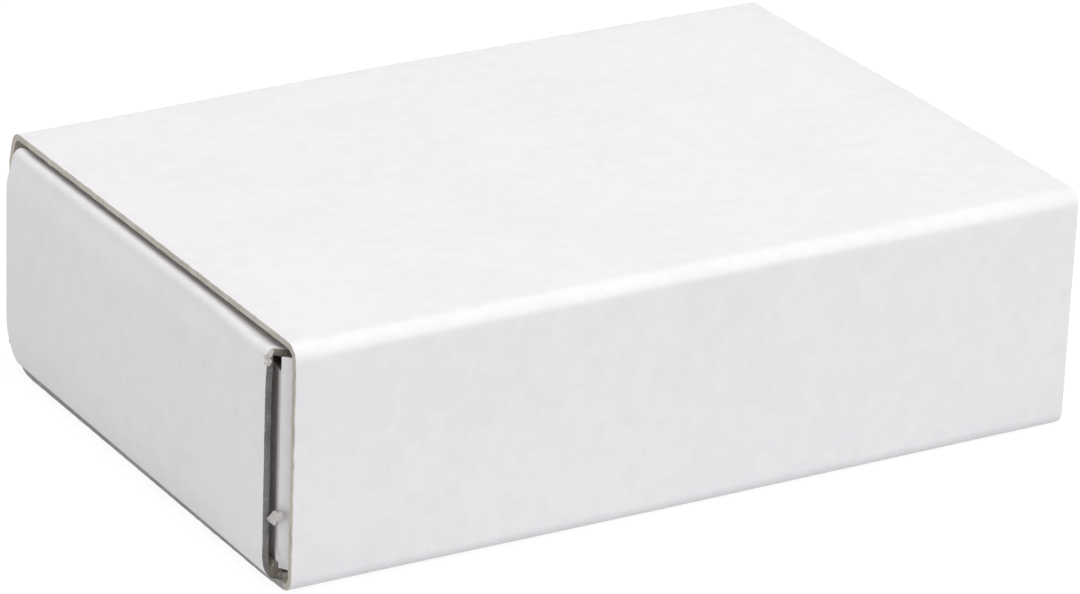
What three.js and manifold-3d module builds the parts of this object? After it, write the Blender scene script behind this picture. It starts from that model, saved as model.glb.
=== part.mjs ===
// A plain slide matchbox, closed: a folded and glued card sleeve, and the folded card tray that slides in it.
// Millimetres, +Z up. +X runs along the box, -Y is its near long side, and the origin is on the table
// under the middle of the whole box. At -X the tray stands a little out of the sleeve.
import * as THREE from "three";
import { mergeVertices } from "three/addons/utils/BufferGeometryUtils.js";
import Module from "manifold-3d";

const wasm = await Module();
wasm.setup();

// The card
const BOARD = 0.4; // thickness of the card
const FOLD_FACETS = 8; // facets round a right-angled fold

// The sleeve: far side, top, near side, bottom and glue flap, folded from one strip
const SLEEVE_LENGTH = 53;
const SLEEVE_WIDTH = 36.5;
const SLEEVE_HEIGHT = 15.4;
const SLEEVE_FOLD = 1; // outer radius of its folds
const SEAM_RISE = 1.2; // the far side's cut edge stays this far above the table
const FLAP_SHORT = 5; // the glue flap ends this far below the sleeve's top
const FLAP_TRIM = 0.8; // the flap's ends start this far inside the sleeve's ends
const FLAP_TAPER = 1.6; // and lean in by this much over the flap's height
const GLUE = 0.05; // thickness of the glue between the flap and the far side
const GLUE_MARGIN = 0.6; // the glue stops this far inside the flap's edges
const GLUE_BITE = 0.1; // and soaks this far into the card on both sides

// How the tray sits in the sleeve
const TRAY_PROUD = 1; // it stands this far out of the sleeve's -X end
const TRAY_SHORT = 0.4; // it is this much shorter than the sleeve
const SIDE_PLAY = 0.25; // between each side of the tray and the sleeve
const FLOOR_PLAY = 0.1; // under the tray
const HEAD_PLAY = 0.35; // over its end walls

// The tray: floor, side walls with tabs, and end walls that roll over the tabs
const TRAY_FOLD = 0.7; // outer radius of the folds at the floor's long sides and at the tabs
const WALL_DROP = 0.25; // the side walls stand this much lower than the end walls
const TAB_DROP = 0.9; // and the tabs this much lower than the side walls
const TAB_REACH = 11; // the tabs reach this far in from the tray's sides
const CORNER_REACH = 0.05; // the turned ends keep the wall's full height this far past the fold
const END_FOLD = 1.2; // outer radius of the loose fold between floor and end wall
const END_INSET = 0.95; // each side of an end wall stops this far inside the tray's side
const END_GAP = 0.45; // an end wall stands this far off the tabs that it covers
const FLAP_PLAY = 0.05; // between the tabs and the end wall's inner flap
const FOOT_PLAY = 0.1; // between the inner flap's lower edge and the floor

const X = new THREE.Vector3(1, 0, 0);
const Y = new THREE.Vector3(0, 1, 0);
const Z = new THREE.Vector3(0, 0, 1);
const RIGHT_ANGLE = Math.PI / 2;

// Folded card

// A strip of card seen edge on is made of straight runs and of folds to the left. A fold's radius is that of
// the card's outer face, which is on the right of the way.
const run = (length) => ({ length });
const fold = (radius, angle = RIGHT_ANGLE) => ({ radius, angle });

function strip(x, y, heading, steps) {
  const at = new THREE.Vector2(x, y);
  const outer = [];
  const inner = [];
  const mark = () => {
    const left = new THREE.Vector2(-Math.sin(heading), Math.cos(heading));
    outer.push(at.clone());
    inner.unshift(at.clone().addScaledVector(left, BOARD));
  };
  mark();
  for (const { length, radius, angle } of steps) {
    if (length !== undefined) {
      at.x += length * Math.cos(heading);
      at.y += length * Math.sin(heading);
      mark();
      continue;
    }
    const facets = Math.round((FOLD_FACETS * angle) / RIGHT_ANGLE);
    const centre = new THREE.Vector2(at.x - radius * Math.sin(heading), at.y + radius * Math.cos(heading));
    for (let facet = 0; facet < facets; facet++) {
      at.rotateAround(centre, angle / facets);
      heading += angle / facets;
      mark();
    }
  }
  return new THREE.Shape([...outer, ...inner]);
}

// Solids

function solid(geometry) {
  geometry.deleteAttribute("normal");
  geometry.deleteAttribute("uv");
  const merged = mergeVertices(geometry);
  return new wasm.Manifold(
    new wasm.Mesh({
      numProp: 3,
      vertProperties: merged.getAttribute("position").array,
      triVerts: new Uint32Array(merged.index.array),
    }),
  );
}

// A flat shape, drawn on two of the axes, made into a solid that runs from one place to another on the third
function extruded(shape, across, up, from, to) {
  const geometry = new THREE.ExtrudeGeometry(shape, { depth: to - from, bevelEnabled: false });
  geometry.translate(0, 0, from);
  geometry.applyMatrix4(new THREE.Matrix4().makeBasis(across, up, across.clone().cross(up)));
  return solid(geometry);
}

function meshOf(name, body, color) {
  const { vertProperties, triVerts } = body.getMesh();
  const geometry = new THREE.BufferGeometry();
  geometry.setAttribute("position", new THREE.BufferAttribute(vertProperties, 3));
  geometry.setIndex(new THREE.BufferAttribute(triVerts, 1));
  const material = new THREE.MeshStandardMaterial({ color, roughness: 0.7, metalness: 0, flatShading: true });
  const mesh = new THREE.Mesh(geometry, material);
  mesh.name = name;
  return mesh;
}

// The sleeve, standing on z = 0 with its middle at the origin

const FLAP_TOP = SLEEVE_HEIGHT - FLAP_SHORT;
const FLAP_FACE = SLEEVE_WIDTH / 2 - BOARD - GLUE; // the glued face of the flap

function sleeveStrip() {
  const section = strip(SLEEVE_WIDTH / 2, SEAM_RISE, RIGHT_ANGLE, [
    run(SLEEVE_HEIGHT - SLEEVE_FOLD - SEAM_RISE),
    fold(SLEEVE_FOLD),
    run(SLEEVE_WIDTH - 2 * SLEEVE_FOLD),
    fold(SLEEVE_FOLD),
    run(SLEEVE_HEIGHT - 2 * SLEEVE_FOLD),
    fold(SLEEVE_FOLD),
    run(SLEEVE_WIDTH / 2 + FLAP_FACE - 2 * SLEEVE_FOLD),
    fold(SLEEVE_FOLD),
    run(FLAP_TOP - SLEEVE_FOLD),
  ]);
  return extruded(section, Y, Z, -SLEEVE_LENGTH / 2, SLEEVE_LENGTH / 2);
}

// The flap's outline, its ends leaning in, drawn smaller by a margin all round
function flapOutline(margin) {
  const foot = SLEEVE_LENGTH / 2 - FLAP_TRIM - margin;
  const head = foot - FLAP_TAPER;
  return new THREE.Shape([
    new THREE.Vector2(-foot, SLEEVE_FOLD + margin),
    new THREE.Vector2(foot, SLEEVE_FOLD + margin),
    new THREE.Vector2(head, FLAP_TOP - margin),
    new THREE.Vector2(-head, FLAP_TOP - margin),
  ]);
}

// What is cut from the flap at one end, the +X end for a side of 1 and the -X end for -1
function flapTrimming(side) {
  const foot = SLEEVE_LENGTH / 2 - FLAP_TRIM;
  const lean = FLAP_TAPER / (FLAP_TOP - SLEEVE_FOLD);
  const beyond = SLEEVE_LENGTH / 2 + BOARD;
  const above = FLAP_TOP + BOARD;
  const outline = [
    new THREE.Vector2(side * foot, SLEEVE_FOLD),
    new THREE.Vector2(side * beyond, SLEEVE_FOLD),
    new THREE.Vector2(side * beyond, above),
    new THREE.Vector2(side * (foot - lean * (above - SLEEVE_FOLD)), above),
  ];
  // A shape drawn on X and Z takes its depth along -Y. The cut ends within the thickness of the glue.
  return extruded(new THREE.Shape(outline), X, Z, -(FLAP_FACE + GLUE / 2), -(FLAP_FACE - BOARD - GLUE));
}

function glueLayer() {
  const bond = flapOutline(GLUE_MARGIN);
  return extruded(bond, X, Z, -(FLAP_FACE + GLUE + GLUE_BITE), -(FLAP_FACE - GLUE_BITE));
}

function sleeve() {
  return sleeveStrip().subtract(flapTrimming(1)).subtract(flapTrimming(-1)).add(glueLayer());
}

// The tray, its floor's underside on z = 0 and its middle at the origin

const TRAY_LENGTH = SLEEVE_LENGTH - TRAY_SHORT;
const TRAY_WIDTH = SLEEVE_WIDTH - 3 * BOARD - GLUE - 2 * SIDE_PLAY;
const TRAY_HEIGHT = SLEEVE_HEIGHT - 2 * BOARD - FLOOR_PLAY - HEAD_PLAY;
const WALL_HEIGHT = TRAY_HEIGHT - WALL_DROP;
const TAB_HEIGHT = WALL_HEIGHT - TAB_DROP;
const TAB_FACE = TRAY_LENGTH / 2 - BOARD - END_GAP; // the tabs' outer faces
const ROLL = (3 * BOARD + END_GAP + FLAP_PLAY) / 2; // outer radius of the roll over the tabs

// The floor with its two side walls, as long as the walls are straight
function trough() {
  const wall = run(WALL_HEIGHT - TRAY_FOLD);
  const section = strip(-TRAY_WIDTH / 2, WALL_HEIGHT, -RIGHT_ANGLE, [
    wall,
    fold(TRAY_FOLD),
    run(TRAY_WIDTH - 2 * TRAY_FOLD),
    fold(TRAY_FOLD),
    wall,
  ]);
  return extruded(section, Y, Z, TRAY_FOLD - TAB_FACE, TAB_FACE - TRAY_FOLD);
}

// A side wall, drawn from above, with ends that turn in. It stands on the fold at the floor's side.
// A side of 1 is the near wall, and -1 is the same wall turned half round to the far side.
function turnedWall(side, turnedEnds, height) {
  const section = strip(-TAB_FACE, TRAY_FOLD + turnedEnds - TRAY_WIDTH / 2, -RIGHT_ANGLE, [
    run(turnedEnds),
    fold(TRAY_FOLD),
    run(2 * (TAB_FACE - TRAY_FOLD)),
    fold(TRAY_FOLD),
    run(turnedEnds),
  ]);
  const across = X.clone().multiplyScalar(side);
  const up = Y.clone().multiplyScalar(side);
  return extruded(section, across, up, TRAY_FOLD, height);
}

// The wall keeps its height round the corners as far as the tabs, which are cut lower
function wallWithTabs(side) {
  const corners = turnedWall(side, CORNER_REACH, WALL_HEIGHT);
  return corners.add(turnedWall(side, TAB_REACH - TRAY_FOLD, TAB_HEIGHT));
}

// Inner flap, roll, end wall, floor, end wall, roll and inner flap: one strip along the tray
function endWallsAndFloor() {
  const innerFlap = run(TRAY_HEIGHT - ROLL - BOARD - FOOT_PLAY);
  const endWall = run(TRAY_HEIGHT - ROLL - END_FOLD);
  const section = strip(2 * ROLL - TRAY_LENGTH / 2, BOARD + FOOT_PLAY, RIGHT_ANGLE, [
    innerFlap,
    fold(ROLL, 2 * RIGHT_ANGLE),
    endWall,
    fold(END_FOLD),
    run(TRAY_LENGTH - 2 * END_FOLD),
    fold(END_FOLD),
    endWall,
    fold(ROLL, 2 * RIGHT_ANGLE),
    innerFlap,
  ]);
  const halfWidth = TRAY_WIDTH / 2 - END_INSET;
  return extruded(section, X, Z, -halfWidth, halfWidth);
}

function tray() {
  return trough().add(wallWithTabs(1)).add(wallWithTabs(-1)).add(endWallsAndFloor());
}

// The box, with the origin under the middle of sleeve and tray together

const sleeveMesh = meshOf("sleeve", sleeve(), 0xf1f0f2);
sleeveMesh.position.set(TRAY_PROUD / 2, 0, 0);

const trayMesh = meshOf("tray", tray(), 0xe6e5e8);
trayMesh.position.set(
  TRAY_LENGTH / 2 - (SLEEVE_LENGTH + TRAY_PROUD) / 2,
  -(BOARD + GLUE) / 2, // the doubled far side of the sleeve leaves the tray this far off the middle
  BOARD + FLOOR_PLAY,
);

const matchbox = new THREE.Group();
matchbox.add(sleeveMesh, trayMesh);

export default matchbox;
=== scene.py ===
# %% [markdown]
# # A plain slide matchbox in folded card
#
# The real box is two sheets of thin card, white on one side and grey on the other. One sheet is folded four
# times and glued into a sleeve. The other is folded into a tray that slides in the sleeve. This lesson starts
# from the measured solids of both, sets up the camera and the light, folds the two sheets again as finely
# as the photograph shows them, and gives the card its faces, its grey back and its fibrous cut edges.

# %% Load the measured box
import math

import bpy
from mathutils import Matrix, Vector, noise


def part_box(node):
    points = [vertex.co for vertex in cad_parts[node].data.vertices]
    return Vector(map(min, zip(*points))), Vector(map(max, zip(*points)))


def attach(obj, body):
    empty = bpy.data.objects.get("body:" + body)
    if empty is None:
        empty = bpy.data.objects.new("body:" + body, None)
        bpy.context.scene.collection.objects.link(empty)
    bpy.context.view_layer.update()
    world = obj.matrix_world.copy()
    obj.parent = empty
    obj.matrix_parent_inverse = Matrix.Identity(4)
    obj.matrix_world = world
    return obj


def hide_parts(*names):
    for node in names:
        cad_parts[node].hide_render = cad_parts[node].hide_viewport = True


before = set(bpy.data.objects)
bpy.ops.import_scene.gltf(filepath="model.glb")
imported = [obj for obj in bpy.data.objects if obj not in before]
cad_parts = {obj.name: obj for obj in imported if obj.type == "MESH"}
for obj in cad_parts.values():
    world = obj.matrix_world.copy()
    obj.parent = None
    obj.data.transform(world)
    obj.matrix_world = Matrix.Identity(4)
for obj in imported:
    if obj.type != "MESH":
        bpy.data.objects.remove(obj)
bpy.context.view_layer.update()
MM = 0.001
print("nodes:", sorted(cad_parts))

# %% [markdown]
# ## The camera
#
# The photograph is taken with a long lens, from above the near corner. A camera can be placed by eye, or
# worked out from the box's straight edges, whose true directions are known. Here the second way was used:
# azimuth, elevation, roll and distance came from fitting those that show to the picture.

# %% Place the camera
AZIMUTH = math.radians(-31.354)
ELEVATION = math.radians(23.275)
ROLL = math.radians(2.265)
DISTANCE = 355.54 * MM
SIDEWAYS, UPWARDS = 0.46 * MM, 5.88 * MM  # the aim is this far from the middle of the sleeve's underside
SENSOR = 36  # width in millimetres
LENS = 194.44  # in millimetres too


def direction(azimuth, elevation):
    """The way to something seen at these angles, with -Y ahead at azimuth 0."""
    level = math.cos(elevation)
    return Vector((math.sin(azimuth) * level, -math.cos(azimuth) * level, math.sin(elevation)))


sleeve_low, sleeve_high = (Vector(corner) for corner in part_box("sleeve"))
sleeve_middle = (sleeve_low.x + sleeve_high.x) / 2
towards_camera = direction(AZIMUTH, ELEVATION)
level_right = Vector((0, 0, 1)).cross(towards_camera).normalized()
level_up = towards_camera.cross(level_right)
right = level_right * math.cos(ROLL) + level_up * math.sin(ROLL)
up = level_up * math.cos(ROLL) - level_right * math.sin(ROLL)

camera_data = bpy.data.cameras.new("camera")
camera_data.sensor_fit = "HORIZONTAL"
camera_data.sensor_width = SENSOR
camera_data.lens = LENS
camera = bpy.data.objects.new("camera", camera_data)
camera.rotation_euler = Matrix((right, up, towards_camera)).transposed().to_euler()
aim = Vector((sleeve_middle, 0, 0))
camera.location = aim + towards_camera * DISTANCE + right * SIDEWAYS + up * UPWARDS
bpy.context.scene.collection.objects.link(camera)
bpy.context.scene.camera = camera
bpy.context.scene.view_settings.view_transform = "Standard"
print("camera at", [round(c / MM, 1) for c in camera.location], "mm")

# %% [markdown]
# ## Floor, background and light
#
# The box lies on white in a soft, even light, brightest from above and a little stronger on the long side
# than on the end. White card shows every difference in brightness between its faces, so the lamps are large
# and weak. The white of the background comes from what the camera sees of the floor and the world, not
# from more light.

# %% Helpers that add shader nodes
def add_node(tree, kind, inputs=None, **settings):
    node = tree.nodes.new(kind)
    for name, value in settings.items():
        setattr(node, name, value)
    for name, value in (inputs or {}).items():
        socket = node.inputs[name]
        if isinstance(value, bpy.types.NodeSocket):
            tree.links.new(value, socket)
        else:
            socket.default_value = value
    return node


def calculate(tree, operation, *values):
    """A Math node's result."""
    return add_node(tree, "ShaderNodeMath", dict(enumerate(values)), operation=operation).outputs[0]


def seen_directly(tree):
    """1 for rays from the camera, or by way of a mirror or glass, and 0 for the light itself."""
    path = add_node(tree, "ShaderNodeLightPath")
    mirror = calculate(tree, "MAXIMUM", path.outputs["Is Camera Ray"], path.outputs["Is Glossy Ray"])
    return calculate(tree, "MAXIMUM", mirror, path.outputs["Is Transmission Ray"])


print("node helpers ready")

# %% World
SKY_LIGHT = 0.52
WHITE = (1, 1, 1, 1)

world = bpy.data.worlds.new("white_studio")
bpy.context.scene.world = world
world.use_nodes = True
tree = world.node_tree
tree.nodes.clear()
lit = add_node(tree, "ShaderNodeBackground", {"Color": WHITE, "Strength": SKY_LIGHT})
seen = add_node(tree, "ShaderNodeBackground", {"Color": WHITE, "Strength": 1.0})
both = add_node(
    tree, "ShaderNodeMixShader", {0: seen_directly(tree), 1: lit.outputs[0], 2: seen.outputs[0]}
)
add_node(tree, "ShaderNodeOutputWorld", {"Surface": both.outputs[0]})
print("world:", len(tree.nodes), "nodes")

# %% Floor
FLOOR_SIZE = 3.0
FLOOR_BOUNCE = (0.62, 0.62, 0.63, 1)  # what the box gets back from the floor
FLOOR_SHADE = (0.16, 0.16, 0.16, 1)  # the part of the floor seen that a shadow can darken
FLOOR_GLOW = 0.9  # and the part that it can't

bpy.ops.object.select_all(action="DESELECT")
bpy.ops.mesh.primitive_plane_add(size=FLOOR_SIZE, location=(0, 0, 0))
floor = bpy.context.object
floor.name = "floor"
floor_paint = bpy.data.materials.new("white_floor")
floor_paint.use_nodes = True
tree = floor_paint.node_tree
tree.nodes.clear()
bounce = add_node(tree, "ShaderNodeBsdfDiffuse", {"Color": FLOOR_BOUNCE})
shade = add_node(tree, "ShaderNodeBsdfDiffuse", {"Color": FLOOR_SHADE})
glow = add_node(tree, "ShaderNodeEmission", {"Color": WHITE, "Strength": FLOOR_GLOW})
seen = add_node(tree, "ShaderNodeAddShader", {0: shade.outputs[0], 1: glow.outputs[0]})
both = add_node(
    tree, "ShaderNodeMixShader", {0: seen_directly(tree), 1: bounce.outputs[0], 2: seen.outputs[0]}
)
add_node(tree, "ShaderNodeOutputMaterial", {"Surface": both.outputs[0]})
floor.data.materials.append(floor_paint)
print("floor:", FLOOR_SIZE, "m square")

# %% Lamps
LAMP_DISTANCE = 0.6


def add_lamp(name, azimuth, elevation, size, power):
    """A square lamp that looks at the box from an azimuth and elevation in degrees."""
    back = direction(math.radians(azimuth), math.radians(elevation))
    data = bpy.data.lights.new(name, "AREA")
    data.size, data.energy = size, power
    lamp = bpy.data.objects.new(name, data)
    lamp.location = back * LAMP_DISTANCE
    lamp.rotation_euler = back.to_track_quat("Z", "Y").to_euler()
    bpy.context.scene.collection.objects.link(lamp)


add_lamp("lamp_above", 20, 78, 0.5, 1.6)
add_lamp("lamp_near_side", 28, 24, 0.4, 0.9)
add_lamp("lamp_near_end", -70, 15, 0.4, 0.66)

# %% [markdown]
# ## Tools for folding a sheet
#
# A folded sheet is drawn the way it is folded. One straight edge of the blank is carried along by an
# extrude for each flat panel and by a spin for each rounded fold. Only the outer, white face is drawn. When
# the whole sheet stands, a Solidify modifier gives it the thickness of the card, and a second and third
# material for its grey back and its cut edge.

# %% Start a sheet and select its parts
TINY = 1e-6  # two points nearer than this, in metres, are one
CLOSE = 1e-5  # a point nearer than this to a panel is on it


def make_active(piece):
    bpy.ops.object.select_all(action="DESELECT")
    bpy.context.view_layer.objects.active = piece
    piece.select_set(True)


def new_plane(name, low, high, z):
    """A flat sheet between two corners (x, y), left in edit mode with nothing selected."""
    bpy.ops.object.select_all(action="DESELECT")
    middle = ((low[0] + high[0]) / 2, (low[1] + high[1]) / 2, z)
    bpy.ops.mesh.primitive_plane_add(size=1, location=middle)
    piece = bpy.context.object
    piece.name = piece.data.name = name
    piece.scale = (high[0] - low[0], high[1] - low[1], 1)
    bpy.ops.object.transform_apply(location=True, rotation=True, scale=True)
    bpy.ops.object.mode_set(mode="EDIT")
    bpy.ops.mesh.select_mode(type="EDGE")
    bpy.ops.mesh.select_all(action="DESELECT")
    return piece


def select_where(piece, test, kind="edges"):
    """Selects the vertices that pass the test, or the edges with both ends passing, and nothing else."""
    bpy.ops.object.mode_set(mode="OBJECT")
    mesh = piece.data
    good = [test(v.co) for v in mesh.vertices]
    for group in (mesh.vertices, mesh.edges, mesh.polygons):
        group.foreach_set("select", [False] * len(group))
    if kind == "vertices":
        mesh.vertices.foreach_set("select", good)
    else:
        for edge in mesh.edges:
            if all(good[i] for i in edge.vertices):
                edge.select = True
                for i in edge.vertices:
                    mesh.vertices[i].select = True
    bpy.ops.object.mode_set(mode="EDIT")


def near(a, b):
    return abs(a - b) < CLOSE


print("selecting tools ready")

# %% Fold, cut and close a sheet
def extrude(x=0, y=0, z=0):
    """A flat panel: the selected edge is carried straight on."""
    bpy.ops.mesh.extrude_region_move(TRANSFORM_OT_translate={"value": (x, y, z)})


def spin(centre, axis, degrees, steps):
    """A rounded fold: the selected edge turns about an axis through the centre, by the right-hand rule."""
    bpy.ops.mesh.spin(steps=steps, angle=-math.radians(degrees), center=centre, axis=axis)


def cut_once(place, normal):
    """Cuts the whole sheet by one plane and keeps both sides."""
    bpy.ops.mesh.select_all(action="SELECT")
    bpy.ops.mesh.bisect(plane_co=place, plane_no=normal, threshold=TINY)


def cut_rows(axis, start, stop, pitch):
    """Cuts the whole sheet by evenly spaced planes between two places on an axis."""
    rows = max(1, round((stop - start) / pitch))
    normal = tuple(1.0 if i == "XYZ".index(axis) else 0.0 for i in range(3))
    for row in range(rows + 1):
        place = start + (stop - start) * row / rows
        cut_once(tuple(place * n for n in normal), normal)


def close_sheet(piece, outward_face, outward):
    """Merges doubles, turns the white side outwards and leaves edit mode. One face tells which way is out."""
    bpy.ops.mesh.select_all(action="SELECT")
    bpy.ops.mesh.remove_doubles(threshold=TINY)
    bpy.ops.mesh.normals_make_consistent(inside=False)
    bpy.ops.object.mode_set(mode="OBJECT")
    face = next(p for p in piece.data.polygons if outward_face(p.center))
    if face.normal.dot(Vector(outward)) < 0:
        bpy.ops.object.mode_set(mode="EDIT")
        bpy.ops.mesh.flip_normals()
        bpy.ops.object.mode_set(mode="OBJECT")
    print(piece.name, "has", len(piece.data.polygons), "faces and measures",
          [round(d / MM, 2) for d in piece.dimensions], "mm")


print("folding tools ready")

# %% [markdown]
# ## The sleeve
#
# The sleeve starts as its own top panel. From its near edge the sheet runs down the near side, under the box
# and up inside the far side as a glue flap. From its far edge the sheet runs down the far side and ends a
# little above the table, over the flap. The bottom and the flap are never seen in the picture, but the same
# sheet makes them, so the piece is whole from every side.

# %% Fold the near side, the bottom and the flap
BOARD = 0.4 * MM  # thickness of the card
FOLD_STEPS = 8  # steps round a right-angled fold
SLEEVE_FOLD = 1.0 * MM  # outer radius
FLAP_FACE = 17.8 * MM  # how far out the flap's glued face is
FLAP_TOP = 10.4 * MM
FLAP_TRIM = 0.8 * MM  # the flap's ends stop this far inside the sleeve's
FLAP_TAPER = 1.6 * MM  # and lean in by this much more
LOOSE_FOLD = 2.6 * MM  # the far bottom fold opens to this radius at the near end
PAST_FOLD = 0.05 * MM  # the flap's ends are trimmed from this far above the open fold

x0, x1 = sleeve_low.x, sleeve_high.x
side = sleeve_high.y
top = sleeve_high.z
sleeve_length = x1 - x0
flat_y = side - SLEEVE_FOLD
flap_y = FLAP_FACE - SLEEVE_FOLD

sleeve_card = new_plane("sleeve_sheet", (x0, -flat_y), (x1, flat_y), top)
select_where(sleeve_card, lambda p: near(p.y, -flat_y))
spin((0, -flat_y, top - SLEEVE_FOLD), (1, 0, 0), 90, FOLD_STEPS)
extrude(z=2 * SLEEVE_FOLD - top)
spin((0, -flat_y, SLEEVE_FOLD), (1, 0, 0), 90, FOLD_STEPS)
extrude(y=flat_y + flap_y)
spin((0, flap_y, SLEEVE_FOLD), (1, 0, 0), 90, FOLD_STEPS)
extrude(z=LOOSE_FOLD - SLEEVE_FOLD + PAST_FOLD)
trimmed = 1 - 2 * FLAP_TRIM / sleeve_length
bpy.ops.transform.resize(value=(trimmed, 1, 1), center_override=(sleeve_middle, 0, 0))
extrude(z=FLAP_TOP - LOOSE_FOLD - PAST_FOLD)
tapered = 1 - 2 * FLAP_TAPER / (sleeve_length - 2 * FLAP_TRIM)
bpy.ops.transform.resize(value=(tapered, 1, 1), center_override=(sleeve_middle, 0, 0))
select_where(
    sleeve_card,
    lambda p: near(p.x, x0) and p.y > flap_y - TINY and p.z < SLEEVE_FOLD + TINY,
    "vertices",
)
opened = LOOSE_FOLD / SLEEVE_FOLD
bpy.ops.transform.resize(value=(1, opened, opened), center_override=(x0, FLAP_FACE, 0))
print("flap", round((FLAP_TOP - SLEEVE_FOLD) / MM, 2), "mm high")

# %% Fold the far side and cut the sheet into rows
SEAM_RISE = 1.2 * MM  # the far side ends this far above the table
SHARP_FOLD = 0.6 * MM  # the far top fold closes to this radius at the near end
LENGTHWISE_PITCH = 2.0 * MM
SECTION_PITCH = 0.35 * MM

select_where(sleeve_card, lambda p: near(p.y, flat_y) and near(p.z, top))
spin((0, flat_y, top - SLEEVE_FOLD), (1, 0, 0), -90, FOLD_STEPS)
extrude(z=SEAM_RISE + SLEEVE_FOLD - top)
select_where(
    sleeve_card,
    lambda p: near(p.x, x0) and p.y > flat_y - TINY and p.z > top - SLEEVE_FOLD - TINY,
    "vertices",
)
closed = SHARP_FOLD / SLEEVE_FOLD
bpy.ops.transform.resize(value=(1, closed, closed), center_override=(x0, side, top))
cut_rows("X", x0, x1, LENGTHWISE_PITCH)
cut_rows("Y", -flat_y, side - LOOSE_FOLD, SECTION_PITCH)
cut_rows("Z", LOOSE_FOLD, top - SLEEVE_FOLD, SECTION_PITCH)
close_sheet(sleeve_card, lambda c: near(c.z, top), (0, 0, 1))

# %% [markdown]
# ## The tray
#
# The tray starts as its floor. Its long edges fold up into the side walls, and the ends of those turn in as
# tabs. Its short edges fold up into the end walls, which roll over the tabs and come down again inside as
# flaps. The white side of the card is outside, so the flaps show white inside the tray, and the floor grey.

# %% Draw the tray's floor
TRAY_FOLD = 0.7 * MM  # outer radius at the floor's long sides and at the tabs
END_FOLD = 1.2 * MM  # outer radius under the end walls
END_INSET = 0.95 * MM  # the end walls stop this far inside the tray's sides
END_GAP = 0.45 * MM  # between an end wall and the tabs

tray_low, tray_high = (Vector(corner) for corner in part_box("tray"))
under = tray_low.z
fold_top = under + TRAY_FOLD
end_near, end_far = tray_low.y + END_INSET, tray_high.y - END_INSET
tab_inset = BOARD + END_GAP  # the tabs' outer faces stand this far inside the end walls' outer faces
walls_x = (tray_low.x + tab_inset + TRAY_FOLD, tray_high.x - tab_inset - TRAY_FOLD)

tray_card = new_plane(
    "tray_sheet",
    (tray_low.x + END_FOLD, tray_low.y + TRAY_FOLD),
    (tray_high.x - END_FOLD, tray_high.y - TRAY_FOLD),
    under,
)
for x in walls_x:
    cut_once((x, 0, 0), (1, 0, 0))
for y in (end_near, end_far):
    cut_once((0, y, 0), (0, 1, 0))
print("end walls", round((end_far - end_near) / MM, 2), "mm wide")

# %% Fold the side walls and the tabs
WALL_DROP = 0.25 * MM  # the side walls are this much lower than the end walls
TAB_DROP = 0.9 * MM  # and the tabs this much lower than the side walls
TAB_REACH = 11.0 * MM
CORNER_REACH = 0.05 * MM  # the turned ends keep the wall's full height this far past the fold

wall_top = tray_high.z - WALL_DROP
tab_top = wall_top - TAB_DROP
for sign, edge_y in ((-1, tray_low.y), (1, tray_high.y)):
    foot_y = edge_y - sign * TRAY_FOLD
    select_where(
        tray_card, lambda p: near(p.y, foot_y) and walls_x[0] - TINY < p.x < walls_x[1] + TINY
    )
    spin((0, foot_y, fold_top), (1, 0, 0), sign * 90, FOLD_STEPS)
    extrude(z=tab_top - fold_top)
    extrude(z=TAB_DROP)
    for way, end_x in ((-1, walls_x[0]), (1, walls_x[1])):
        select_where(
            tray_card, lambda p: near(p.x, end_x) and near(p.y, edge_y) and p.z > fold_top - TINY
        )
        spin((end_x, foot_y, 0), (0, 0, 1), -sign * way * 90, 1)
        extrude(y=-sign * CORNER_REACH)
        corner_x = end_x + way * TRAY_FOLD
        corner_y = foot_y - sign * CORNER_REACH
        select_where(
            tray_card, lambda p: near(p.x, corner_x) and near(p.y, corner_y) and p.z < tab_top + TINY
        )
        extrude(y=-sign * (TAB_REACH - TRAY_FOLD - CORNER_REACH))
print("side walls up to", round(wall_top / MM, 2), "mm, tabs up to", round(tab_top / MM, 2), "mm")

# %% Fold the end walls, their rolled edges and the inner flaps
FOOT_PLAY = 0.1 * MM  # between an inner flap's lower edge and the floor
ROLL_SPRING = 0.07 * MM  # springy card lifts the rolled edges by this much
ROLL_WIDTH = 2.0 * MM  # over a rolled edge, from the outside of the end wall to the inside of the tray
ROLL_FOLD = 0.45 * MM  # outer radius of the two folds that make the roll

roll_top = tray_high.z + ROLL_SPRING
roll_foot = roll_top - ROLL_FOLD
for way, end_x in ((-1, tray_low.x), (1, tray_high.x)):
    foot_x = end_x - way * END_FOLD
    select_where(
        tray_card,
        lambda p: near(p.x, foot_x) and near(p.z, under) and end_near - TINY < p.y < end_far + TINY,
    )
    spin((foot_x, 0, under + END_FOLD), (0, 1, 0), -way * 90, FOLD_STEPS)
    extrude(z=roll_foot - under - END_FOLD)
    spin((end_x - way * ROLL_FOLD, 0, roll_foot), (0, 1, 0), -way * 90, FOLD_STEPS)
    extrude(x=-way * (ROLL_WIDTH - 2 * ROLL_FOLD))
    spin((end_x - way * (ROLL_WIDTH - ROLL_FOLD), 0, roll_foot), (0, 1, 0), -way * 90, FOLD_STEPS)
    extrude(z=under + BOARD + FOOT_PLAY - roll_foot)
bpy.ops.object.mode_set(mode="OBJECT")
print("tray sheet, size in mm", [round(d / MM, 2) for d in tray_card.dimensions])

# %% [markdown]
# ## Loose folds
#
# Hand-made creases aren't equal. At the near end of the tray the fold under the end wall is tighter at the
# near corner and opens to a long, lazy curve at the far one. The fold's two ends are scaled separately while
# the sheet is still coarse, and the rows cut afterwards blend between them. A row must never fall right
# beside an edge that is there already, because the sliver between them would send the Solidify modifier
# astray. So the upright rows are cut in two lots that meet at the tabs' top.

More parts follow.
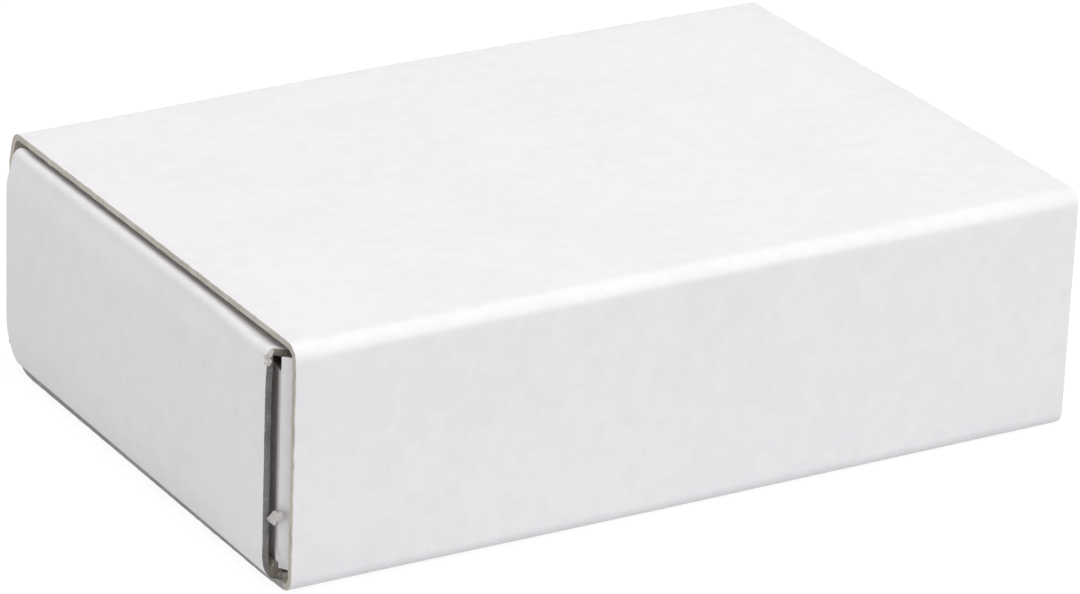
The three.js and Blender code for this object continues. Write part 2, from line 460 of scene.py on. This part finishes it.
# %% Shape the loose folds, then cut the sheet into rows
FOLD_DEPTH = 1.0 * MM  # how far along the box a loose fold reaches
NEAR_END_FOLDS = (1.6 * MM, 3.4 * MM)  # its height at the near and at the far corner
FAR_END_FOLDS = (2.1 * MM, 1.7 * MM)
ROW_PITCH = 0.5 * MM
BELOW_ROLL = 0.3 * MM  # the last row is cut this far under the roll

make_active(tray_card)
for way, end_x, heights in ((-1, tray_low.x, NEAR_END_FOLDS), (1, tray_high.x, FAR_END_FOLDS)):
    for y, height in zip((end_near, end_far), heights):
        select_where(
            tray_card,
            lambda p: near(p.y, y)
            and way * (p.x - end_x) > -END_FOLD - TINY
            and p.z < under + END_FOLD + TINY,
            "vertices",
        )
        bpy.ops.transform.resize(
            value=(FOLD_DEPTH / END_FOLD, 1, height / END_FOLD), center_override=(end_x, y, under)
        )
cut_rows("Y", end_near, end_far, ROW_PITCH)
cut_rows("X", walls_x[0], walls_x[1], LENGTHWISE_PITCH)
cut_rows("Z", under + NEAR_END_FOLDS[0], tab_top, ROW_PITCH)
cut_rows("Z", tab_top, roll_foot - BELOW_ROLL, ROW_PITCH)
close_sheet(tray_card, lambda c: near(c.z, under) and abs(c.x) < 5 * MM, (0, 0, -1))

# %% [markdown]
# ## Bowed panels
#
# Folded card never stays quite flat. Each panel bows a little between its folds, by about a tenth of a
# millimetre, which gives a large white face its soft change of tone. The bow is a smooth bump that is nothing
# at the panel's edges.

# %% Bow the panels
def bow(piece, axis, amount, low, high, on_panel):
    """Pushes a panel along an axis by a bump that is full in its middle and nothing at its edges."""
    across = [i for i in range(3) if i != axis]
    for vertex in piece.data.vertices:
        place = vertex.co
        if on_panel(place):
            bump = amount
            for i in across:
                part = (place[i] - low[i]) / (high[i] - low[i])
                bump *= math.sin(math.pi * min(1, max(0, part)))
            place[axis] += bump


SLEEVE_BOWS = (
    (2, -0.10 * MM, lambda p: near(p.z, top)),
    (1, 0.09 * MM, lambda p: near(p.y, -side)),
    (1, -0.07 * MM, lambda p: near(p.y, side)),
    (2, 0.10 * MM, lambda p: near(p.z, 0)),
)
for axis, amount, on_panel in SLEEVE_BOWS:
    bow(sleeve_card, axis, amount, sleeve_low, sleeve_high, on_panel)
TRAY_BOWS = (
    (0, -0.12 * MM, lambda p: near(p.x, tray_low.x)),
    (0, 0.10 * MM, lambda p: near(p.x, tray_high.x)),
    (1, 0.12 * MM, lambda p: near(p.y, tray_low.y)),
    (1, -0.12 * MM, lambda p: near(p.y, tray_high.y)),
)
for axis, amount, on_panel in TRAY_BOWS:
    bow(tray_card, axis, amount, tray_low, tray_high, on_panel)
print("bowed", len(SLEEVE_BOWS) + len(TRAY_BOWS), "panels")

# %% [markdown]
# ## The sleeve, a little out of true
#
# A box that was cut and folded in a hurry is out of true here and there. The sleeve's far top corner curls in
# at the near end, its near bottom fold stands off the table there, and its other end isn't cut quite square.
# Each is a smooth push that fades to nothing, written as a share from 0 to 1.

# %% Push the sleeve out of true
def share(value, low, high):
    """0 up to low, 1 from high on, and a smooth rise between. low may be the greater of the two."""
    t = min(1, max(0, (value - low) / (high - low)))
    return t * t * (3 - 2 * t)


NEAR_END_STOPS = 2 * MM  # the pushes at the near end fade to nothing here
CURL = 0.75 * MM  # the far top corner comes in by this much
CURL_FOOT, CURL_RISE = 12.4 * MM, 3 * MM  # from this height on, and over this much of it
SAG = 0.02 * MM  # and comes down by this much
LIFT = 0.12 * MM  # the near bottom fold is off the table by this much
LIFT_REACH = 3 * MM
SKEW = 0.30 * MM  # the far end is this far from square

for vertex in sleeve_card.data.vertices:
    p = vertex.co
    near_end = share(p.x, NEAR_END_STOPS, x0)
    curl_part = max(0, (p.z - CURL_FOOT) / CURL_RISE) ** 2
    p.y -= CURL * near_end * curl_part * share(p.y, 5 * MM, side)
    p.z -= SAG * near_end * share(p.y, 0, side) * share(p.z, 8 * MM, top)
    p.z += LIFT * near_end * share(p.y, -flat_y + LIFT_REACH, -side) * share(p.z, LIFT_REACH, 0)
    p.x -= SKEW * share(p.x, sleeve_middle, x1) * share(p.y, -10 * MM, side)
print("sleeve pushed out of true by up to", max(CURL, LIFT, SKEW) / MM, "mm")

# %% [markdown]
# ## The tray, a little out of true
#
# The tabs lean in, and the foot of the near corner is dented. The rolled edges are cut a little narrower than
# the walls and sink towards the inside, with corners that spring up at the near end. The near end wall leans
# back under the sleeve. Last, the tray's far bottom edge is rounded, so that it slides past the sleeve's
# loose fold without cutting into it.

# %% Two pushes for the tabs
TAB_LEAN = 0.28 * MM  # the tabs' outer faces lean in by this much beyond their folds
LEAN_REACH = 1.4 * MM
TAB_DENT = 0.3 * MM  # the foot of the near corner is pressed in by this much
DENT_TOP, DENT_FULL = 3 * MM, 1.4 * MM  # the heights at which the dent starts and is deepest


def lean_tab(p, way):
    inwards = min(p.y - tray_low.y, tray_high.y - p.y) - TRAY_FOLD
    p.x -= way * TAB_LEAN * share(inwards, 0, LEAN_REACH)


def dent_corner(p):
    if p.y < end_near - TINY and p.z > fold_top - TINY:
        depth = share(p.x, walls_x[0], tray_low.x + tab_inset) * share(p.z, DENT_TOP, DENT_FULL)
        p.x += TAB_DENT * depth


print("tabs lean in by", TAB_LEAN / MM, "mm")

# %% Pushes for an end wall and its rolled edge
ROLL_TAPER = 0.15 * MM  # the card from the roll on is cut this much narrower
ROLL_SLOPE = 0.34 * MM  # a rolled edge sinks by this much towards the inside
SLOPE_STARTS, SLOPE_ENDS = 0.6 * MM, 1.1 * MM  # as far in from the end wall as this
ROLL_LIFT = 0.12 * MM  # the corners of the near rolled edge spring up by this much
SPRUNG_REACH = 1.5 * MM
PANEL_SPREAD = 0.30 * MM  # the near end wall reaches this much further to the far side
PANEL_ROUND = 0.35 * MM  # and is cut rounder by this much at its far bottom corner
ROUND_TOP, ROUND_FULL = 3.6 * MM, 0.6 * MM
PANEL_TUCK = 0.36 * MM  # its top leans back by this much, less at the near corner
TUCK_STARTS = 12.4 * MM


def shape_end_wall(p, way, end_x, beyond):
    inwards = -way * (p.x - end_x)
    inner = share(inwards, 0, 1.0 * MM) if p.z > under + 2 * MM else 0
    p.y -= ROLL_TAPER * max(beyond, inner) * share(p.y, 0, end_far)
    p.z -= ROLL_SLOPE * beyond * share(inwards, SLOPE_STARTS, SLOPE_ENDS)


def shape_near_wall(p, beyond):
    sprung = share(p.y, end_near + SPRUNG_REACH, end_near) + share(p.y, end_far - SPRUNG_REACH, end_far)
    p.z += ROLL_LIFT * beyond * sprung
    far_part = share(p.y, 5 * MM, end_far)
    rounded = PANEL_ROUND * share(p.z, ROUND_TOP, ROUND_FULL)
    p.y += far_part * (PANEL_SPREAD * (1 - 0.5 * beyond) - rounded)
    along = 0.15 + 0.85 * share(p.y, -16 * MM, -8 * MM)
    p.x += PANEL_TUCK * share(p.z, TUCK_STARTS, roll_foot) * along


print("the near end wall leans back by", PANEL_TUCK / MM, "mm")

# %% Push the tray out of true
FOLD_ROOM = 0.05 * MM  # the tray's far bottom edge keeps this far from the sleeve's loose fold
ROUNDED_FROM, ROUNDED_FULLY = x0 - 0.4 * MM, x0 - 0.1 * MM  # but not where it stands out of the sleeve


def round_far_edge(p):
    past_y, past_z = p.y - (FLAP_FACE - LOOSE_FOLD), p.z - LOOSE_FOLD
    reach = math.hypot(past_y, past_z)
    room = LOOSE_FOLD - BOARD - FOLD_ROOM
    if past_y > 0 and past_z < 0 and reach > room:
        pull = (room / reach - 1) * share(p.x, ROUNDED_FROM, ROUNDED_FULLY)
        p.y += past_y * pull
        p.z += past_z * pull


for vertex in tray_card.data.vertices:
    p = vertex.co
    for way, end_x in ((-1, tray_low.x), (1, tray_high.x)):
        on_tab = near(p.x, end_x - way * tab_inset)
        if on_tab:
            lean_tab(p, way)
        if way < 0:
            dent_corner(p)
        on_end_wall = way * (p.x - end_x) > -ROLL_WIDTH - TINY and end_near - TINY < p.y < end_far + TINY
        if on_end_wall and not on_tab:
            beyond = share(p.z, roll_foot - BELOW_ROLL, roll_top)  # how far it is on the roll, before any push
            shape_end_wall(p, way, end_x, beyond)
            if way < 0 and p.z > under + TINY:
                shape_near_wall(p, beyond)
    round_far_edge(p)
print("tray pushed out of true by up to", max(TAB_DENT, PANEL_TUCK, ROLL_SLOPE) / MM, "mm")

# %% [markdown]
# ## Thickness and cut edges
#
# The Solidify modifier turns each sheet into card. A blade leaves a cut that wanders by a few hundredths of a
# millimetre and a corner that is never quite sharp, so the cut edges are moved by a smooth noise
# and softened by a narrow bevel.

# %% Let the cuts wander
CUT_WANDER = 0.035 * MM
CUT_GRAIN = 0.5 * MM


def outer_rim(mesh):
    """The vertices on the sheet's open edges, each with the direction that leads away from the sheet."""
    uses = {}
    for face in mesh.polygons:
        for key in face.edge_keys:
            uses.setdefault(key, []).append(face.index)
    ways = {}
    for (a, b), faces in uses.items():
        if len(faces) == 1:
            face = mesh.polygons[faces[0]]
            along = mesh.vertices[b].co - mesh.vertices[a].co
            away = along.cross(face.normal).normalized()
            if away.dot(face.center - mesh.vertices[a].co) > 0:
                away = -away
            for v in (a, b):
                ways[v] = ways.get(v, Vector()) + away
    return {v: way.normalized() for v, way in ways.items()}


def roughen_cuts(piece, seed):
    """Moves the open edges to and fro, by a coarse noise and half as much of a fine one, mostly inwards."""
    mesh = piece.data
    rim = outer_rim(mesh)
    for index, way in rim.items():
        place = mesh.vertices[index].co
        wander = noise.noise(place / CUT_GRAIN + Vector((seed, 0, 0)))
        wander += 0.5 * noise.noise(place / (0.3 * CUT_GRAIN) + Vector((0, seed, 0)))
        place += way * CUT_WANDER * (wander - 0.6)
    print(piece.name, "has", len(rim), "vertices on its cuts")


roughen_cuts(sleeve_card, 3.0)
roughen_cuts(tray_card, 11.0)

# %% Thicken the card
CUT_SOFTNESS = 0.05 * MM


def thicken(piece):
    """Gives the sheet its thickness inwards: slot 0 is its white face, 1 its grey back and 2 its cut edge."""
    modifier = piece.modifiers.new("card", "SOLIDIFY")
    modifier.thickness = BOARD
    modifier.offset = -1
    modifier.use_even_offset = True
    modifier.material_offset = 1
    modifier.material_offset_rim = 2
    bpy.ops.object.modifier_apply(modifier="card")


def soften_cuts(piece):
    modifier = piece.modifiers.new("soft", "BEVEL")
    modifier.limit_method = "ANGLE"
    modifier.angle_limit = math.radians(55)
    modifier.width = CUT_SOFTNESS
    modifier.segments = 2
    bpy.ops.object.modifier_apply(modifier="soft")
    bpy.ops.object.shade_smooth_by_angle(angle=math.radians(35))


def material_named(name):
    return bpy.data.materials.get(name) or bpy.data.materials.new(name)


def make_card(piece, cut, name):
    make_active(piece)
    for finish in ("white_face", "grey_back", cut):
        piece.data.materials.append(material_named(finish))
    thicken(piece)
    soften_cuts(piece)
    piece.name = name
    print(name, "has", len(piece.data.polygons), "faces")


make_card(sleeve_card, "pale_cut_edge", "sleeve_card")
# The tray's cut edges take a grey darkened by painted shade.
make_card(tray_card, "grey_cut_edge_painted_shade", "tray_card")

# %% Give some of the cuts another finish
CUT_SLOT = 2


def refinish_cut(piece, finish, test):
    """Gives the faces of the cut edge that pass the test a finish of their own."""
    piece.data.materials.append(material_named(finish))
    slot = len(piece.data.materials) - 1
    changed = 0
    for face in piece.data.polygons:
        if face.material_index == CUT_SLOT and test(face.center):
            face.material_index = slot
            changed += 1
    print(piece.name, changed, "faces of the cut are", finish)


floor_card = BOARD + 0.1 * MM  # a cut no higher than this above a sheet's underside is in its floor
# The sleeve's cuts at the bottom are darker and greyer than its others.
refinish_cut(sleeve_card, "darker_bottom_cut_edge", lambda c: c.z < floor_card and abs(c.y) < flat_y)
refinish_cut(tray_card, "brown_cut_edge", lambda c: c.z > roll_foot - 0.2 * MM and abs(c.y) > tab_inset)
refinish_cut(
    tray_card, "pale_cut_edge", lambda c: c.z < under + floor_card and c.y < end_near - 0.2 * MM
)

# %% [markdown]
# ## The card's finishes
#
# White-lined grey card has a coated white face, an uncoated grey-beige back, and cut edges in which the torn
# fibres show: pale, darker and greyer at the sleeve's bottom, brown at the tray's top, and grey on the tray's
# other cuts, a grey darkened by painted shade. All of these share one node group for clouds, fibres and
# specks, each with its own colours and amounts.

# %% A node group for the surface of card
def new_group(name, inputs, outputs):
    group = bpy.data.node_groups.new(name, "ShaderNodeTree")
    for socket, kind, value in inputs:
        made = group.interface.new_socket(socket, in_out="INPUT", socket_type=kind)
        if value is not None:
            made.default_value = value
    for socket, kind in outputs:
        group.interface.new_socket(socket, in_out="OUTPUT", socket_type=kind)
    source = group.nodes.new("NodeGroupInput")
    sink = group.nodes.new("NodeGroupOutput")
    return group, source.outputs, sink.inputs


FLOAT, COLOUR, VECTOR = "NodeSocketFloat", "NodeSocketColor", "NodeSocketVector"
card_surface, given, wanted = new_group(
    "card_surface",
    [
        ("Place", VECTOR, None),
        ("Colour", COLOUR, (0.8, 0.8, 0.8, 1)),
        ("Cloud Colour", COLOUR, (0.7, 0.7, 0.7, 1)),
        ("Cloud Amount", FLOAT, 0.5),
        ("Fibre Colour", COLOUR, (0.6, 0.6, 0.6, 1)),
        ("Fibre Amount", FLOAT, 0.5),
        ("Speck Colour", COLOUR, (0.3, 0.25, 0.2, 1)),
        ("Speck Amount", FLOAT, 0.5),
    ],
    [("Colour", COLOUR), ("Height", FLOAT)],
)
print("card_surface:", len(given) - 1, "inputs")

# %% Helpers for the group
PER_METRE = 1000.0  # a noise scale of one cell per millimetre


def noise_at(vector, scale, detail):
    return add_node(
        card_surface, "ShaderNodeTexNoise", {"Vector": vector, "Scale": scale, "Detail": detail}
    ).outputs["Fac"]


def times(a, b):
    return calculate(card_surface, "MULTIPLY", a, b)


def between(value, low, high):
    """0 up to low, 1 from high on, and a smooth rise between."""
    ends = {"Value": value, "From Min": low, "From Max": high}
    node = add_node(card_surface, "ShaderNodeMapRange", ends, interpolation_type="SMOOTHSTEP")
    return node.outputs["Result"]


def mix_colour(factor, a, b):
    # A Mix node has sockets for every kind of value: 6, 7 and its third output are those for colours.
    node = add_node(card_surface, "ShaderNodeMix", {0: factor, 6: a, 7: b}, data_type="RGBA")
    return node.outputs[2]


print("group helpers ready")

# %% Clouds
CLOUD_SCALE, FINE_CLOUD_SCALE = 0.12 * PER_METRE, 0.9 * PER_METRE

clouds = noise_at(given["Place"], CLOUD_SCALE, 3.0)
fine_clouds = noise_at(given["Place"], FINE_CLOUD_SCALE, 2.0)
cloudy = between(calculate(card_surface, "ADD", clouds, fine_clouds), 0.8, 1.2)
colour = mix_colour(times(cloudy, given["Cloud Amount"]), given["Colour"], given["Cloud Colour"])
print("clouds about", round(PER_METRE / CLOUD_SCALE), "mm across")

# %% Fibres
# Short fibres lie in every direction. Each layer is a stretched noise of which only the crests show.
FIBRE_STRETCH = (0.9 * PER_METRE, 9 * PER_METRE, 9 * PER_METRE)
FIBRE_CREST = (0.66, 0.76)

fibre_mask = None
for turn, seed in ((0.4, 3.0), (1.5, 17.0), (2.6, 31.0)):
    lie = add_node(
        card_surface,
        "ShaderNodeMapping",
        {"Vector": given["Place"], "Rotation": (turn, 0.7 * turn, turn), "Location": (seed, seed, seed)},
    )
    stretched = add_node(
        card_surface, "ShaderNodeVectorMath", {0: lie.outputs[0], 1: FIBRE_STRETCH}, operation="MULTIPLY"
    )
    crest = between(noise_at(stretched.outputs[0], 1.0, 1.0), *FIBRE_CREST)
    fibre_mask = crest if fibre_mask is None else calculate(card_surface, "MAXIMUM", fibre_mask, crest)
colour = mix_colour(times(fibre_mask, given["Fibre Amount"]), colour, given["Fibre Colour"])
print("fibres about", round(PER_METRE / FIBRE_STRETCH[0], 1), "mm long")

# %% Specks
SPECK_SCALE = 0.55 * PER_METRE  # one cell of the pattern may hold one speck
SPECK_RARITY = 14.0  # a high power leaves most of the specks too small to see
SPECK_RADIUS = 0.10
SPECK_BLUR = 0.02

spots = add_node(
    card_surface, "ShaderNodeTexVoronoi", {"Vector": given["Place"], "Scale": SPECK_SCALE}
)
sizes = add_node(card_surface, "ShaderNodeSeparateColor", {"Color": spots.outputs["Color"]})
radius = times(calculate(card_surface, "POWER", sizes.outputs[0], SPECK_RARITY), SPECK_RADIUS)
inside = calculate(card_surface, "SUBTRACT", radius, spots.outputs["Distance"])
speck = between(inside, 0.0, SPECK_BLUR)
colour = mix_colour(times(speck, given["Speck Amount"]), colour, given["Speck Colour"])
card_surface.links.new(colour, wanted["Colour"])
print("specks up to", round(PER_METRE * SPECK_RADIUS / SPECK_SCALE, 2), "mm in radius")

# %% Relief
GRAIN_SCALE = 6 * PER_METRE
FINE_CLOUD_HEIGHT = 0.6
FIBRE_HEIGHT = 0.1

grain = noise_at(given["Place"], GRAIN_SCALE, 3.0)
height = calculate(card_surface, "ADD", grain, times(fine_clouds, FINE_CLOUD_HEIGHT))
height = calculate(card_surface, "MULTIPLY_ADD", fibre_mask, FIBRE_HEIGHT, height)
card_surface.links.new(height, wanted["Height"])
print("card_surface:", len(card_surface.nodes), "nodes")

# %% The finishes
def card_finish(name, colour, clouds, fibres, specks, roughness, bump, specular):
    """Colours are linear. clouds, fibres and specks are each a colour and an amount."""
    material = material_named(name)
    material.use_nodes = True
    tree = material.node_tree
    shader = tree.nodes["Principled BSDF"]
    shader.inputs["Roughness"].default_value = roughness
    shader.inputs["Specular IOR Level"].default_value = specular
    place = add_node(tree, "ShaderNodeTexCoord")
    surface = add_node(tree, "ShaderNodeGroup", node_tree=card_surface)
    tree.links.new(place.outputs["Object"], surface.inputs["Place"])
    surface.inputs["Colour"].default_value = (*colour, 1)
    for kind, (tint, amount) in (("Cloud", clouds), ("Fibre", fibres), ("Speck", specks)):
        surface.inputs[kind + " Colour"].default_value = (*tint, 1)
        surface.inputs[kind + " Amount"].default_value = amount
    tree.links.new(surface.outputs["Colour"], shader.inputs["Base Color"])
    relief = add_node(
        tree, "ShaderNodeBump", {"Height": surface.outputs["Height"], "Strength": 1.0, "Distance": bump}
    )
    tree.links.new(relief.outputs["Normal"], shader.inputs["Normal"])


card_finish(
    "white_face", (0.875, 0.858, 0.877),
    clouds=((0.825, 0.808, 0.83), 0.55), fibres=((0.76, 0.745, 0.765), 0.3),
    specks=((0.45, 0.42, 0.40), 0.8), roughness=0.45, bump=0.008 * MM, specular=0.5,
)
card_finish(
    "grey_back", (0.50, 0.46, 0.40),
    clouds=((0.44, 0.40, 0.345), 0.7), fibres=((0.62, 0.58, 0.51), 0.8),
    specks=((0.20, 0.17, 0.14), 0.8), roughness=0.8, bump=0.02 * MM, specular=0.3,
)
card_finish(
    "pale_cut_edge", (0.64, 0.60, 0.54),
    clouds=((0.48, 0.45, 0.39), 0.7), fibres=((0.74, 0.70, 0.62), 0.9),
    specks=((0.25, 0.21, 0.17), 0.8), roughness=0.9, bump=0.03 * MM, specular=0.2,
)
# Darker and greyer than the pale cut, for the sleeve's cuts at the bottom.
card_finish(
    "darker_bottom_cut_edge", (0.47, 0.465, 0.46),
    clouds=((0.36, 0.355, 0.35), 0.7), fibres=((0.52, 0.51, 0.49), 0.9),
    specks=((0.15, 0.14, 0.13), 0.8), roughness=0.9, bump=0.03 * MM, specular=0.2,
)
card_finish(
    "brown_cut_edge", (0.30, 0.265, 0.235),
    clouds=((0.22, 0.185, 0.16), 0.9), fibres=((0.62, 0.58, 0.52), 0.9),
    specks=((0.12, 0.09, 0.07), 0.8), roughness=0.9, bump=0.05 * MM, specular=0.2,
)
# Painted shade: the tray's cuts are the same card as the sleeve's, but this grey is much darker, for the shade
# on the near end wall's cut beside the narrow slot behind it.
card_finish(
    "grey_cut_edge_painted_shade", (0.24, 0.235, 0.235),
    clouds=((0.17, 0.165, 0.165), 0.8), fibres=((0.42, 0.41, 0.41), 0.9),
    specks=((0.10, 0.09, 0.09), 0.8), roughness=0.9, bump=0.03 * MM, specular=0.2,
)
card_finish(
    "torn_lining", (0.58, 0.56, 0.54),
    clouds=((0.60, 0.57, 0.53), 0.7), fibres=((0.85, 0.84, 0.83), 0.9),
    specks=((0.35, 0.31, 0.27), 0.6), roughness=0.9, bump=0.03 * MM, specular=0.2,
)
print("materials:", sorted(m.name for m in bpy.data.materials))

# %% [markdown]
# ## Bruised card at the near corner
#
# Where card is creased, its grey layers part and swell into a bead along the inside of the fold. Where it
# was torn from its neighbour in the press, a few fibres and a flake of the white lining stay behind. They are
# small, but they are what the eye stops at on a plain white box.

# %% The bead inside the near end's bottom fold
BEAD_RADIUS = 0.43 * MM
BEAD_SIDES = 14
BEAD_ROWS = 40
BEAD_SWELL = 0.22  # its radius varies by this share either way
BEAD_TALLER = 1.15  # it is this much higher than it is wide

bead_start = Vector((tray_low.x + 0.92 * MM, end_near - 0.10 * MM, under + 0.62 * MM))
bead_end = Vector((tray_low.x + 0.85 * MM, end_far - 0.6 * MM, under + 1.0 * MM))
bead_length = bead_end.y - bead_start.y
bpy.ops.object.select_all(action="DESELECT")
bpy.ops.mesh.primitive_cylinder_add(
    vertices=BEAD_SIDES, radius=BEAD_RADIUS, depth=bead_length, end_fill_type="TRIFAN",
    location=(0, (bead_start.y + bead_end.y) / 2, 0), rotation=(math.pi / 2, 0, 0),
)
crease_bead = bpy.context.object
crease_bead.name = crease_bead.data.name = "crease_bead"
bpy.ops.object.transform_apply(location=True, rotation=True, scale=True)
bpy.ops.object.mode_set(mode="EDIT")
cut_rows("Y", bead_start.y, bead_end.y, bead_length / BEAD_ROWS)
bpy.ops.object.mode_set(mode="OBJECT")
for vertex in crease_bead.data.vertices:
    p = vertex.co
    middle = bead_start.lerp(bead_end, (p.y - bead_start.y) / bead_length)
    swell = 1 + BEAD_SWELL * noise.noise(p / (0.35 * MM))
    p.x = middle.x + p.x * swell
    p.z = middle.z + BEAD_TALLER * p.z * swell
    p.y += 0.05 * MM * noise.noise(p / (0.2 * MM) + Vector((5, 0, 0)))
crease_bead.data.materials.append(material_named("brown_cut_edge"))
bpy.ops.object.shade_smooth_by_angle(angle=math.radians(40))
print("crease_bead:", len(crease_bead.data.polygons), "faces")

# %% Torn flakes of the white lining
FLAKE_CELLS = 7
CORNER_LOSS = 0.22  # how much of a flake's corners is worn away


def at_mm(x, y, z):
    return Vector((x * MM, y * MM, z * MM))


def torn_flake(name, middle, along, across, length, width, thickness, ragged, curl, seed):
    """A flake whose long way is along and whose width is across, its border torn by a noise."""
    along, across = Vector(along).normalized(), Vector(across).normalized()
    out = along.cross(across).normalized()
    across = out.cross(along)
    bpy.ops.object.select_all(action="DESELECT")
    bpy.ops.mesh.primitive_grid_add(x_subdivisions=FLAKE_CELLS, y_subdivisions=FLAKE_CELLS, size=1)
    flake = bpy.context.object
    flake.name = flake.data.name = name
    for vertex in flake.data.vertices:
        u, v = vertex.co.x * 2, vertex.co.y * 2
        rim = max(abs(u), abs(v))
        angle = math.atan2(v, u)
        border = Vector((1.6 * math.cos(angle), 1.6 * math.sin(angle), seed))
        tear = 1 + ragged * rim * noise.noise(border)
        tear *= 1 - CORNER_LOSS * min(abs(u), abs(v)) ** 2
        bend = curl * (u * u - 0.4 * v) + 0.25 * curl * noise.noise(Vector((u, v, seed)))
        in_plane = along * (u * length / 2 * tear) + across * (v * width / 2 * tear)
        vertex.co = middle + in_plane + out * bend
    modifier = flake.modifiers.new("card", "SOLIDIFY")
    modifier.thickness = thickness
    modifier.offset = 0
    bpy.ops.object.modifier_apply(modifier="card")
    flake.data.materials.append(material_named("torn_lining"))
    bpy.ops.object.shade_smooth_by_angle(angle=math.radians(50))
    print(name, "size in mm", [round(d / MM, 2) for d in flake.dimensions])
    return flake


torn_nib = torn_flake(
    "torn_nib", at_mm(-26.54, -17.12, 4.60), along=(0.42, -0.55, 0.62), across=(-0.2, 0.35, 1),
    length=0.95 * MM, width=0.72 * MM, thickness=0.12 * MM, ragged=0.6, curl=-0.10 * MM, seed=4.0,
)
frayed_corner = torn_flake(
    "frayed_corner", at_mm(-26.88, -16.70, 14.25), along=(0.35, -0.02, 1), across=(0.9, -0.30, -0.2),
    length=0.80 * MM, width=0.30 * MM, thickness=0.06 * MM, ragged=1.2, curl=0.04 * MM, seed=9.0,
)
frayed_tip = torn_flake(
    "frayed_tip", at_mm(-27.00, -16.74, 14.42), along=(-0.55, 0.1, 0.5), across=(0.6, -0.3, 1),
    length=0.36 * MM, width=0.18 * MM, thickness=0.05 * MM, ragged=1.2, curl=0.05 * MM, seed=21.0,
)

# %% [markdown]
# ## The pieces on their bodies
#
# Each piece rides on the body that it moves with. The two folded
# sheets take the place of the solids.

# %% Put each piece on its body
for bruise in (crease_bead, torn_nib, frayed_corner, frayed_tip):
    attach(bruise, "tray")
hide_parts("sleeve")
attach(sleeve_card, "sleeve")
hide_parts("tray")
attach(tray_card, "tray")
